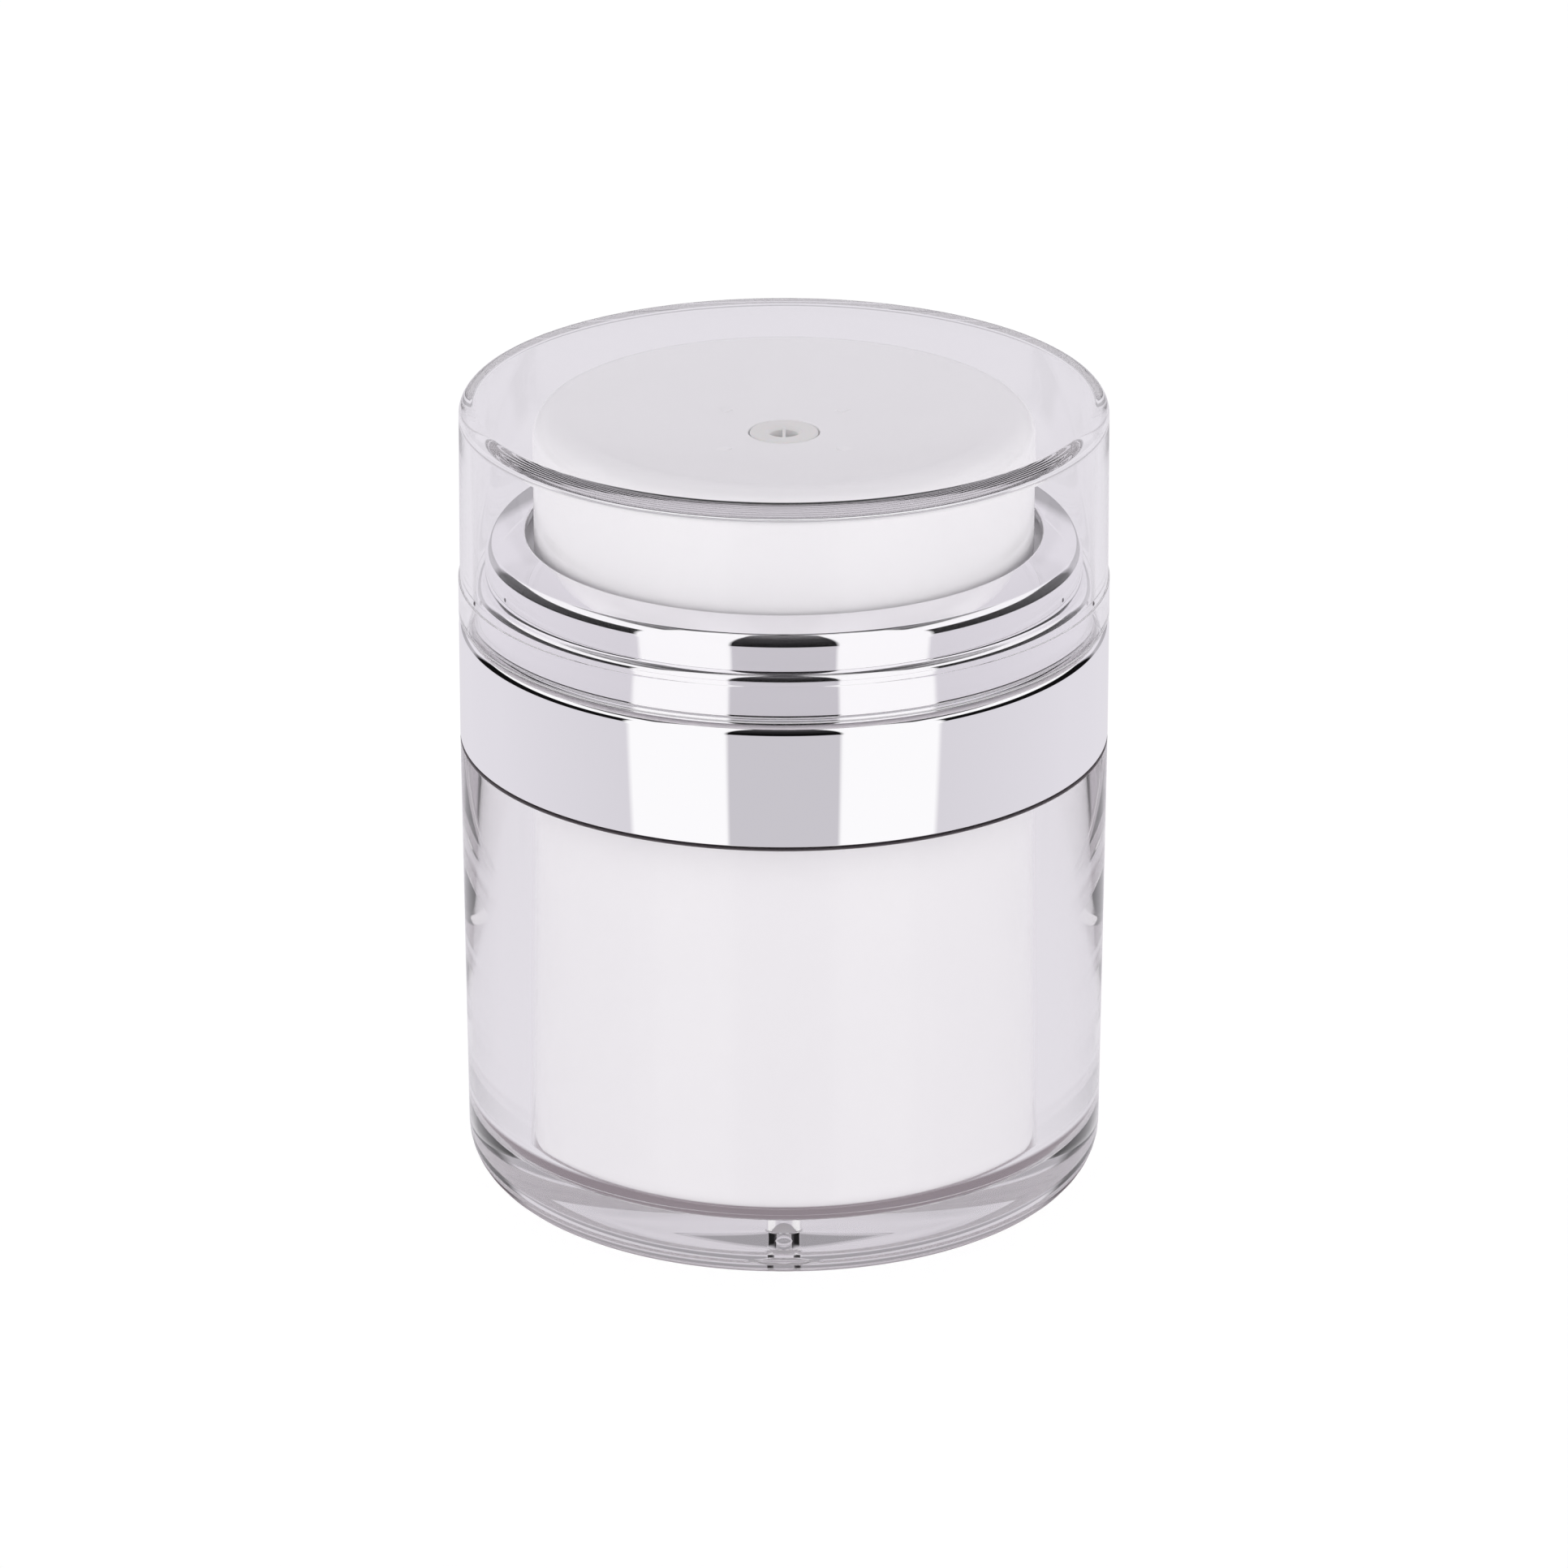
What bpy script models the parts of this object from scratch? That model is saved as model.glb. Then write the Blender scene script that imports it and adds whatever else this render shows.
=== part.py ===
# Airless cream bottle: a thick clear jar round a white inner cup, a bright plated
# collar, a dished press disc over a piston pump, and a clear pull-off cap.
# Every round piece is a profile turned about the upright centre line.
# Metres, +Z up, origin at the middle of the base.
import math

import bmesh
import bpy
from mathutils import Vector

for old in list(bpy.data.objects):
    bpy.data.objects.remove(old, do_unlink=True)

mm = 0.001

# Shared sizes
body_radius = 31.0 * mm         # rim of the jar, band of the collar and skirt of the cap
seat_gap = 0.3 * mm             # left between two pieces that seat on or in each other
slide_gap = 0.3 * mm            # left round a piece that slides
cut_overrun = 2.0 * mm          # how far a cutter runs past what it cuts
merge_distance = 0.001 * mm
outer_sides = 40
inner_sides = 32
small_sides = 20
fine_sides = 16
arc_steps = 3
sharp_angle = math.radians(32)
shared_edge_share = 0.48        # most of an edge that a fillet takes up where the next corner has one too
lone_edge_share = 0.96          # the same where the next corner has none
full_turn = 2 * math.pi

# Outer jar
jar_height = 44.6 * mm
jar_draft = 0.4 * mm            # how much narrower the jar is at its foot than at its rim
jar_wall = 6.1 * mm
jar_floor = 4.8 * mm
jar_foot_fillet = 5.0 * mm
jar_foot_steps = 5
jar_edge_fillet = 0.3 * mm
jar_recess_margin = 1.6 * mm    # from the jar's bore in to the edge of the recess under its foot
jar_recess_slope = 0.8 * mm
jar_recess_depth = 0.4 * mm
jar_vent_radius = 2.4 * mm

# Inner cup
cup_wall = 1.2 * mm
cup_floor = 1.2 * mm
cup_corner = 2.8 * mm
cup_vent_start = 4.5 * mm       # vent slots in the cup's floor, beside the jar's vent hole
cup_vent_end = 7.5 * mm
cup_vent_width = 1.0 * mm
cup_vents = 4
cup_flange_width = 3.4 * mm
cup_flange_thickness = 1.2 * mm
cup_bead_width = 0.8 * mm
cup_bead_height = 1.8 * mm
cup_bead_slope = 0.6 * mm

# Gasket between the cup and the pump deck
gasket_thickness = 0.8 * mm
gasket_inset = 0.2 * mm

# Collar shell
band_height = 12.0 * mm
band_fillet = 0.9 * mm
collar_foot_fillet = 0.25 * mm
shell_wall = 1.1 * mm
neck_step = 0.85 * mm
lower_neck_height = 4.9 * mm
lower_neck_fillet = 0.82 * mm
upper_neck_height = 4.1 * mm
upper_neck_fillet = 1.65 * mm
mouth_rim_width = 3.85 * mm
mouth_crown = 0.5 * mm         # how far the top of the neck rises towards the mouth

# Collar liner
liner_wall = 1.0 * mm
liner_web = 1.2 * mm
liner_web_overlap = 2.5 * mm     # how far the web reaches in over the deck's flange
liner_grip_wall = 1.2 * mm
liner_bead_height = 1.2 * mm
liner_bead_slope = 0.5 * mm
liner_slot_width = 1.6 * mm
liner_slots = 8
guide_wall = 1.1 * mm

# Pump deck, and the chamber that hangs in it
deck_flange_thickness = 1.2 * mm
deck_plug_depth = 2.5 * mm
deck_plug_wall = 1.3 * mm
deck_plate = 1.4 * mm
chamber_bore = 6.6 * mm
chamber_wall = 1.3 * mm
chamber_floor = 1.2 * mm
chamber_drop = 3.5 * mm         # how far the chamber hangs below the deck plate
inlet_radius = 1.9 * mm
deck_rib_thickness = 1.0 * mm
deck_rib_height = 1.9 * mm
deck_ribs = 4
deck_boss_wall = 1.2 * mm
deck_boss_height = 2.3 * mm     # of the boss round the chamber, above the deck plate
chamber_flange_thickness = 0.8 * mm
chamber_foot_fillet = 0.4 * mm

# Chamber cap
turret_thickness = 1.2 * mm
turret_skirt_wall = 1.0 * mm
turret_skirt_depth = 2.6 * mm
turret_plug_wall = 1.0 * mm
turret_plug_depth = 1.2 * mm
turret_rim_width = 0.8 * mm
turret_rim_height = 0.8 * mm

# Stem and chamber piston
stem_radius = 2.6 * mm
stem_bore = 1.2 * mm
stem_foot_radius = 3.7 * mm
stem_foot_thickness = 0.8 * mm
stem_ring_radius = 3.5 * mm
stem_ring_thickness = 0.6 * mm
stem_lead = 0.4 * mm
piston_height = 3.6 * mm
piston_recess_depth = 1.6 * mm
piston_recess_radius = 4.4 * mm
piston_lip_height = 1.0 * mm
piston_waist = 0.7 * mm

# Inlet valve
valve_radius = 3.1 * mm
valve_thickness = 0.7 * mm
valve_stem_radius = 1.0 * mm
valve_lift = 0.8 * mm
valve_barb_radius = 2.4 * mm
valve_barb_height = 1.2 * mm
valve_tip_radius = 0.8 * mm

# Return spring
spring_radius = 6.6 * mm
spring_wire_radius = 0.4 * mm
spring_turns = 4.5
spring_points_per_turn = 10

# Press disc
press_stroke = 4.5 * mm
mouth_clearance = 0.8 * mm      # open gap between the press disc and the collar's mouth
disc_height = 13.1 * mm
disc_edge_fillet = 2.2 * mm
disc_edge_steps = 3
disc_dish_depth = 2.2 * mm
disc_dish_steps = 4
disc_plate = 1.5 * mm
disc_skirt_wall = 1.5 * mm
disc_flange_thickness = 1.0 * mm
disc_rib_thickness = 1.0 * mm
disc_rib_height = 3.2 * mm
disc_ribs = 4
hub_radius = 5.2 * mm
hub_shelf = 0.8 * mm
hub_passage = 1.5 * mm

# Nozzle insert and outlet valve
nozzle_radius = 3.1 * mm
nozzle_height = 3.2 * mm
nozzle_proud = 0.25 * mm
nozzle_bore = 0.8 * mm
nozzle_lead = 0.5 * mm
nozzle_top = 1.0 * mm
nozzle_wall = 0.8 * mm
nozzle_edge_fillet = 0.35 * mm
outlet_flange_thickness = 0.6 * mm
outlet_dome_radius = 1.3 * mm
outlet_dome_height = 1.0 * mm
outlet_wall = 0.45 * mm
outlet_slit = 0.2 * mm

# Follower piston
follower_height = 12.5 * mm
follower_lip_height = 3.0 * mm
follower_lip_slope = 1.0 * mm
follower_waist = 0.8 * mm
follower_wall = 1.3 * mm
follower_web = 1.5 * mm
follower_well_gap = 0.8 * mm
follower_well_depth = 7.6 * mm
follower_ring_wall = 1.2 * mm
follower_ring_depth = 5.0 * mm

# Over cap
cap_draft = 0.1 * mm
cap_wall = 1.4 * mm
cap_foot_band = 3.7 * mm        # height of the slightly proud band round the cap's foot
cap_foot_step = 0.15 * mm
cap_headroom = 0.8 * mm         # between the disc's rim and the underside of the cap
cap_top_fillet = 1.3 * mm
cap_top = 1.6 * mm
cap_inner_fillet = 0.6 * mm
cap_foot_fillet = 0.25 * mm

# Heights of the pieces above the table, from the base up
cup_z = jar_floor + seat_gap
follower_z = cup_z + cup_floor + seat_gap
collar_z = jar_height + seat_gap
ledge_z = collar_z + band_height
step_z = ledge_z + lower_neck_height
collar_top_z = step_z + upper_neck_height
liner_z = ledge_z - shell_wall - seat_gap - liner_web
deck_z = liner_z - seat_gap - deck_flange_thickness
gasket_z = deck_z - seat_gap - gasket_thickness
cup_top_z = gasket_z - seat_gap
deck_under_z = deck_z - deck_plug_depth
chamber_under_z = deck_under_z - chamber_drop
chamber_floor_z = chamber_under_z + chamber_floor
valve_z = chamber_floor_z + seat_gap
stem_foot_z = valve_z + valve_thickness + valve_lift + slide_gap + press_stroke
piston_z = stem_foot_z + stem_foot_thickness + seat_gap - piston_recess_depth
turret_z = piston_z + piston_height + slide_gap + turret_plug_depth
chamber_top_z = turret_z - seat_gap
turret_top_z = turret_z + turret_thickness
disc_z = collar_top_z - mouth_crown - shell_wall - seat_gap - disc_flange_thickness
disc_top_z = disc_z + disc_height
nozzle_shelf_z = disc_top_z - disc_dish_depth + nozzle_proud - nozzle_height - seat_gap
cap_z = ledge_z + seat_gap
cap_under_z = disc_top_z + cap_headroom
follower_travel = deck_under_z - seat_gap - follower_z - follower_height

# Radii that follow from the pieces round them
jar_foot_radius = body_radius - jar_draft
jar_bore = body_radius - jar_wall
jar_recess_radius = jar_bore - jar_recess_margin
cup_outer = jar_bore - seat_gap
cup_bore = cup_outer - cup_wall
cup_inner_corner = cup_corner - cup_wall
cup_bead_radius = cup_outer + cup_bead_width
cup_flange_radius = cup_outer + cup_flange_width
cap_bore = body_radius - cap_wall
cap_side_radius = body_radius - cap_foot_step
cap_top_radius = cap_side_radius - cap_draft
lower_neck_radius = cap_bore - seat_gap
upper_neck_radius = lower_neck_radius - neck_step
mouth_radius = upper_neck_radius - mouth_rim_width
band_bore = body_radius - shell_wall
lower_neck_bore = lower_neck_radius - shell_wall
upper_neck_bore = upper_neck_radius - shell_wall
liner_outer = band_bore - seat_gap
liner_skirt_bore = liner_outer - liner_wall
liner_web_radius = cup_bead_radius - liner_web_overlap
liner_grip_bore = cup_bead_radius + seat_gap
liner_grip_outer = liner_grip_bore + liner_grip_wall
guide_outer = lower_neck_bore - seat_gap
guide_bore = guide_outer - guide_wall
deck_plug_radius = cup_bore - seat_gap
deck_plug_bore = deck_plug_radius - deck_plug_wall
chamber_outer = chamber_bore + chamber_wall
deck_boss_bore = chamber_outer + seat_gap
deck_boss_radius = deck_boss_bore + deck_boss_wall
turret_skirt_bore = chamber_outer + seat_gap
turret_outer = turret_skirt_bore + turret_skirt_wall
turret_plug_radius = chamber_bore - seat_gap
turret_plug_bore = turret_plug_radius - turret_plug_wall
stem_hole = stem_radius + slide_gap
piston_radius = chamber_bore - slide_gap
disc_radius = mouth_radius - mouth_clearance
disc_flange_radius = min(upper_neck_bore, guide_bore) - slide_gap
disc_skirt_bore = disc_radius - disc_skirt_wall
dish_radius = disc_radius - disc_edge_fillet
nozzle_pocket = nozzle_radius + seat_gap
nozzle_hollow = nozzle_radius - nozzle_wall
follower_radius = cup_bore - slide_gap
follower_inner = follower_radius - follower_waist - follower_wall
follower_well_radius = chamber_outer + follower_well_gap


def finish(name, colour, roughness, metallic=0.0, clear=0.0, index=1.49):
    """A plain Principled material with the colour and gloss of one of the pieces."""
    material = bpy.data.materials.new(name)
    material.use_nodes = True
    shader = material.node_tree.nodes["Principled BSDF"]
    shader.inputs["Base Color"].default_value = (*colour, 1.0)
    shader.inputs["Roughness"].default_value = roughness
    shader.inputs["Metallic"].default_value = metallic
    shader.inputs["Transmission Weight"].default_value = clear
    shader.inputs["IOR"].default_value = index
    material.diffuse_color = (*colour, 1.0)
    material.roughness = roughness
    material.metallic = metallic
    return material


clear_acrylic = finish("clear_acrylic", (0.93, 0.93, 0.95), 0.02, clear=1.0)
bright_plating = finish("bright_plating", (0.82, 0.82, 0.84), 0.05, metallic=1.0)
white_plastic = finish("white_plastic", (0.86, 0.85, 0.87), 0.22)
natural_plastic = finish("natural_plastic", (0.80, 0.80, 0.78), 0.35)
soft_seal = finish("soft_seal", (0.74, 0.74, 0.72), 0.5)
spring_steel = finish("spring_steel", (0.60, 0.60, 0.62), 0.25, metallic=1.0)


def rounded(corners):
    """Outline points from (radius, height, fillet, steps) corners, fillet and steps optional."""
    outline = []
    for index, corner in enumerate(corners):
        here = Vector(corner[:2])
        fillet = corner[2] if len(corner) > 2 else 0
        steps = corner[3] if len(corner) > 3 else arc_steps
        if fillet <= 0:
            outline.append(here)
            continue
        following = corners[(index + 1) % len(corners)]
        back = Vector(corners[index - 1][:2]) - here
        ahead = Vector(following[:2]) - here
        half_angle = back.angle(ahead) / 2
        reach = fillet / math.tan(half_angle)
        for edge, neighbour in ((back, corners[index - 1]), (ahead, following)):
            share = shared_edge_share if len(neighbour) > 2 else lone_edge_share
            reach = min(reach, share * edge.length)
        radius = reach * math.tan(half_angle)
        inward = (back.normalized() + ahead.normalized()).normalized()
        middle = here + inward * radius / math.sin(half_angle)
        start = here + back.normalized() * reach - middle
        sweep = start.angle_signed(here + ahead.normalized() * reach - middle)
        for step in range(steps + 1):
            turn = -sweep * step / steps
            swung = Vector((start.x * math.cos(turn) - start.y * math.sin(turn),
                            start.x * math.sin(turn) + start.y * math.cos(turn)))
            outline.append(middle + swung)
    return outline


def add_object(name, mesh, material, height, parent=None):
    """Place a mesh on the centre line at a height, under an empty if one is given."""
    part = bpy.data.objects.new(name, mesh)
    mesh.materials.append(material)
    mesh.shade_smooth()
    mesh.set_sharp_from_angle(angle=sharp_angle)
    bpy.context.scene.collection.objects.link(part)
    part.location = (0, 0, height)
    if parent is not None:
        part.parent = parent
        part.location.z -= parent.location.z
    return part


def turned(name, corners, material, height, sides, parent=None):
    """Turn a profile about Z. One that starts and ends on the axis makes a solid piece."""
    outline = rounded(corners)
    shape = bmesh.new()
    ring = [shape.verts.new((point.x, 0, point.y)) for point in outline]
    on_axis = outline[0].x == 0 and outline[-1].x == 0
    pairs = list(zip(ring, ring[1:])) + ([] if on_axis else [(ring[-1], ring[0])])
    edges = [shape.edges.new(pair) for pair in pairs]
    bmesh.ops.spin(shape, geom=ring + edges, cent=(0, 0, 0), axis=(0, 0, 1), dvec=(0, 0, 0),
                   angle=full_turn, steps=sides, use_merge=True)
    bmesh.ops.remove_doubles(shape, verts=shape.verts, dist=merge_distance)
    bmesh.ops.recalc_face_normals(shape, faces=shape.faces)
    mesh = bpy.data.meshes.new(name)
    shape.to_mesh(mesh)
    shape.free()
    return add_object(name, mesh, material, height, parent)


def spokes(name, count, inner, outer, low, high, thickness):
    """Upright walls that run outward from the axis, used as a rib set or as a slot cutter."""
    shape = bmesh.new()
    for index in range(count):
        angle = full_turn * (index + 0.5) / count
        along = Vector((math.cos(angle), math.sin(angle), 0))
        across = Vector((-math.sin(angle), math.cos(angle), 0)) * thickness / 2
        foot = [along * inner - across, along * outer - across,
                along * outer + across, along * inner + across]
        floor = [shape.verts.new((point.x, point.y, low)) for point in foot]
        wall = bmesh.ops.extrude_face_region(shape, geom=[shape.faces.new(floor)])
        lifted = [item for item in wall["geom"] if isinstance(item, bmesh.types.BMVert)]
        bmesh.ops.translate(shape, verts=lifted, vec=(0, 0, high - low))
    bmesh.ops.recalc_face_normals(shape, faces=shape.faces)
    mesh = bpy.data.meshes.new(name)
    shape.to_mesh(mesh)
    shape.free()
    return mesh


def join_or_cut(part, mesh, operation):
    """Union or cut a part with a mesh given in the part's own frame."""
    tool = bpy.data.objects.new(mesh.name, mesh)
    bpy.context.scene.collection.objects.link(tool)
    tool.parent = part
    tool.display_type = "WIRE"
    tool.hide_render = True
    change = part.modifiers.new(mesh.name, "BOOLEAN")
    change.object = tool
    change.operation = operation
    change.solver = "EXACT"
    return tool


def travel_axis(name, height):
    """An empty on the centre line that carries the pieces of one sliding group."""
    empty = bpy.data.objects.new(name, None)
    bpy.context.scene.collection.objects.link(empty)
    empty.location = (0, 0, height)
    return empty


def make_outer_jar():
    corners = [
        (body_radius, jar_height, jar_edge_fillet, 1),
        (jar_foot_radius, 0, jar_foot_fillet, jar_foot_steps),
        (jar_recess_radius, 0),
        (jar_recess_radius - jar_recess_slope, jar_recess_depth),
        (jar_vent_radius, jar_recess_depth),
        (jar_vent_radius, jar_floor),
        (jar_bore, jar_floor, cup_corner + seat_gap, 2),
        (jar_bore, jar_height),
    ]
    return turned("outer_jar", corners, clear_acrylic, 0, outer_sides)


def make_inner_cup():
    flange = jar_height + seat_gap - cup_z
    top = cup_top_z - cup_z
    bead = top - cup_bead_height
    corners = [
        (0, 0),
        (cup_outer, 0, cup_corner, 2),
        (cup_outer, flange),
        (cup_flange_radius, flange),
        (cup_flange_radius, flange + cup_flange_thickness),
        (cup_outer, flange + cup_flange_thickness),
        (cup_outer, bead),
        (cup_bead_radius, bead + cup_bead_slope),
        (cup_bead_radius, top - cup_bead_slope),
        (cup_bead_radius - cup_bead_slope, top),
        (cup_bore, top),
        (cup_bore, cup_floor, cup_inner_corner, 3),
        (0, cup_floor),
    ]
    cup = turned("inner_cup", corners, white_plastic, cup_z, inner_sides)
    vents = spokes("cup_vent_cutter", cup_vents, cup_vent_start, cup_vent_end, -cut_overrun,
                   cup_floor + cut_overrun, cup_vent_width)
    join_or_cut(cup, vents, "DIFFERENCE")
    return cup


def make_cup_gasket():
    inner = cup_bore + gasket_inset
    outer = cup_bead_radius - cup_bead_slope
    corners = [(outer, 0), (outer, gasket_thickness), (inner, gasket_thickness), (inner, 0)]
    return turned("cup_gasket", corners, soft_seal, gasket_z, inner_sides)


def make_collar_shell():
    ledge = band_height
    step = ledge + lower_neck_height
    top = step + upper_neck_height
    corners = [
        (body_radius, 0, collar_foot_fillet, 2),
        (body_radius, ledge, band_fillet, 2),
        (lower_neck_radius, ledge),
        (lower_neck_radius, step, lower_neck_fillet),
        (upper_neck_radius, step),
        (upper_neck_radius, top - mouth_crown, upper_neck_fillet, 4),
        (mouth_radius, top),
        (mouth_radius, top - shell_wall),
        (upper_neck_bore, top - mouth_crown - shell_wall),
        (upper_neck_bore, step - shell_wall),
        (lower_neck_bore, step - shell_wall),
        (lower_neck_bore, ledge - shell_wall),
        (band_bore, ledge - shell_wall),
        (band_bore, 0),
    ]
    return turned("collar_shell", corners, bright_plating, collar_z, outer_sides)


def make_collar_liner():
    # Its own zero is the underside of the web that clamps the pump deck
    skirt_foot = collar_z + seat_gap - liner_z
    guide_top = step_z - shell_wall - seat_gap - liner_z
    bead_top = cup_top_z - cup_bead_height - seat_gap - liner_z
    bead_foot = bead_top - liner_bead_height
    bead_radius = cup_outer + seat_gap
    corners = [
        (liner_outer, skirt_foot),
        (liner_outer, liner_web),
        (guide_outer, liner_web),
        (guide_outer, guide_top),
        (guide_bore, guide_top),
        (guide_bore, liner_web),
        (liner_web_radius, liner_web),
        (liner_web_radius, 0),
        (liner_grip_bore, 0),
        (liner_grip_bore, bead_top),
        (bead_radius, bead_top - liner_bead_slope / 2),
        (bead_radius, bead_foot + liner_bead_slope),
        (liner_grip_bore, bead_foot),
        (liner_grip_outer, bead_foot),
        (liner_grip_outer, 0),
        (liner_skirt_bore, 0),
        (liner_skirt_bore, skirt_foot),
    ]
    liner = turned("collar_liner", corners, white_plastic, liner_z, inner_sides)
    slots = spokes("liner_slot_cutter", liner_slots, cup_outer, (liner_grip_outer + liner_skirt_bore) / 2,
                   bead_foot - cut_overrun, bead_top + liner_bead_height, liner_slot_width)
    join_or_cut(liner, slots, "DIFFERENCE")
    return liner


def make_pump_deck():
    # Its own zero is the underside of the flange on the cup's gasket
    plate_under = -deck_plug_depth
    plate_top = plate_under + deck_plate
    boss_top = plate_top + deck_boss_height
    corners = [
        (cup_bead_radius, 0),
        (cup_bead_radius, deck_flange_thickness),
        (deck_plug_bore, deck_flange_thickness),
        (deck_plug_bore, plate_top, deck_plate / 2, 2),
        (deck_boss_radius, plate_top),
        (deck_boss_radius, boss_top),
        (deck_boss_bore, boss_top),
        (deck_boss_bore, plate_under),
        (deck_plug_radius, plate_under),
        (deck_plug_radius, 0),
    ]
    deck = turned("pump_deck", corners, white_plastic, deck_z, inner_sides)
    ribs = spokes("deck_rib_set", deck_ribs, deck_boss_radius - deck_boss_wall / 2,
                  deck_plug_bore + deck_plug_wall / 2, plate_top - deck_plate / 2,
                  plate_top + deck_rib_height, deck_rib_thickness)
    join_or_cut(deck, ribs, "UNION")
    return deck


def make_pump_chamber():
    # Hangs by its flange from the top of the deck's boss
    flange = deck_under_z + deck_plate + deck_boss_height + seat_gap - chamber_under_z
    top = chamber_top_z - chamber_under_z
    corners = [
        (chamber_outer, 0, chamber_foot_fillet, 2),
        (chamber_outer, flange),
        (deck_boss_radius, flange),
        (deck_boss_radius, flange + chamber_flange_thickness),
        (chamber_outer, flange + chamber_flange_thickness),
        (chamber_outer, top),
        (chamber_bore, top),
        (chamber_bore, chamber_floor),
        (inlet_radius, chamber_floor),
        (inlet_radius, 0),
    ]
    return turned("pump_chamber", corners, natural_plastic, chamber_under_z, inner_sides)


def make_chamber_cap():
    groove = turret_outer - turret_rim_width
    corners = [
        (turret_outer, -turret_skirt_depth),
        (turret_outer, turret_thickness + turret_rim_height),
        (groove, turret_thickness + turret_rim_height),
        (groove, turret_thickness),
        (stem_hole, turret_thickness),
        (stem_hole, 0),
        (turret_plug_bore, 0),
        (turret_plug_bore, -turret_plug_depth),
        (turret_plug_radius, -turret_plug_depth),
        (turret_plug_radius, 0),
        (turret_skirt_bore, 0),
        (turret_skirt_bore, -turret_skirt_depth),
    ]
    return turned("chamber_cap", corners, natural_plastic, turret_z, small_sides)


def make_inlet_valve(axis):
    shank = seat_gap + chamber_floor + valve_lift + seat_gap
    corners = [
        (0, valve_thickness),
        (valve_radius, valve_thickness, valve_thickness / 2, 2),
        (valve_radius, 0),
        (valve_stem_radius, 0),
        (valve_stem_radius, -shank),
        (valve_barb_radius, -shank),
        (valve_tip_radius, -shank - valve_barb_height),
        (0, -shank - valve_barb_height),
    ]
    return turned("inlet_valve", corners, soft_seal, valve_z, fine_sides, axis)


def make_chamber_piston(axis):
    waist = piston_radius - piston_waist
    corners = [
        (piston_radius, 0),
        (piston_radius, piston_lip_height),
        (waist, piston_lip_height + piston_waist / 2),
        (waist, piston_height - piston_lip_height - piston_waist / 2),
        (piston_radius, piston_height - piston_lip_height),
        (piston_radius, piston_height),
        (stem_hole, piston_height),
        (stem_hole, piston_recess_depth),
        (piston_recess_radius, piston_recess_depth),
        (piston_recess_radius, 0),
    ]
    return turned("chamber_piston", corners, natural_plastic, piston_z, small_sides, axis)


def make_pump_stem(axis):
    top = nozzle_shelf_z - hub_shelf - seat_gap - stem_foot_z
    ring = piston_z + piston_height + seat_gap - stem_foot_z
    corners = [
        (stem_foot_radius, 0),
        (stem_foot_radius, stem_foot_thickness),
        (stem_radius, stem_foot_thickness),
        (stem_radius, ring),
        (stem_ring_radius, ring),
        (stem_ring_radius, ring + stem_ring_thickness),
        (stem_radius, ring + stem_ring_thickness),
        (stem_radius, top - stem_lead),
        (stem_radius - stem_lead, top),
        (stem_bore, top),
        (stem_bore, 0),
    ]
    return turned("pump_stem", corners, white_plastic, stem_foot_z, fine_sides, axis)


def dish_drop(radius):
    """How far the dished top lies below its rim at a radius."""
    return disc_dish_depth * (1 - (radius / dish_radius) ** 2)


def make_press_disc(axis):
    seat = nozzle_shelf_z - disc_z
    hub_foot = turret_top_z + press_stroke + slide_gap - disc_z
    stations = [nozzle_pocket + (dish_radius - nozzle_pocket) * step / disc_dish_steps
                for step in range(disc_dish_steps)]
    above = [(radius, disc_height - dish_drop(radius)) for radius in reversed(stations)]
    under = [(radius, disc_height - disc_plate - dish_drop(radius)) for radius in stations
             if radius > hub_radius]
    corners = [
        (disc_flange_radius, 0),
        (disc_flange_radius, disc_flange_thickness),
        (disc_radius, disc_flange_thickness),
        (disc_radius, disc_height, disc_edge_fillet, disc_edge_steps),
        *above,
        (nozzle_pocket, seat),
        (hub_passage, seat),
        (hub_passage, seat - hub_shelf),
        (stem_radius + seat_gap, seat - hub_shelf),
        (stem_radius + seat_gap, hub_foot),
        (hub_radius, hub_foot),
        (hub_radius, disc_height - disc_plate - dish_drop(hub_radius)),
        *under,
        (disc_skirt_bore, disc_height - disc_plate, disc_plate / 2, 2),
        (disc_skirt_bore, 0),
    ]
    disc = turned("press_disc", corners, white_plastic, disc_z, outer_sides, axis)
    rib_top = disc_height - disc_plate - disc_dish_depth / 2
    ribs = spokes("disc_rib_set", disc_ribs, spring_radius + 2 * spring_wire_radius,
                  disc_skirt_bore + disc_skirt_wall / 2, rib_top - disc_rib_height,
                  rib_top + disc_plate / 2, disc_rib_thickness)
    join_or_cut(disc, ribs, "UNION")
    return disc


def make_nozzle_insert(axis):
    corners = [
        (nozzle_radius, 0),
        (nozzle_radius, nozzle_height, nozzle_edge_fillet, 3),
        (nozzle_bore + nozzle_lead, nozzle_height),
        (nozzle_bore, nozzle_height - nozzle_lead),
        (nozzle_bore, nozzle_height - nozzle_top),
        (nozzle_hollow, nozzle_height - nozzle_top),
        (nozzle_hollow, 0),
    ]
    return turned("nozzle_insert", corners, natural_plastic, nozzle_shelf_z + seat_gap, fine_sides, axis)


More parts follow.
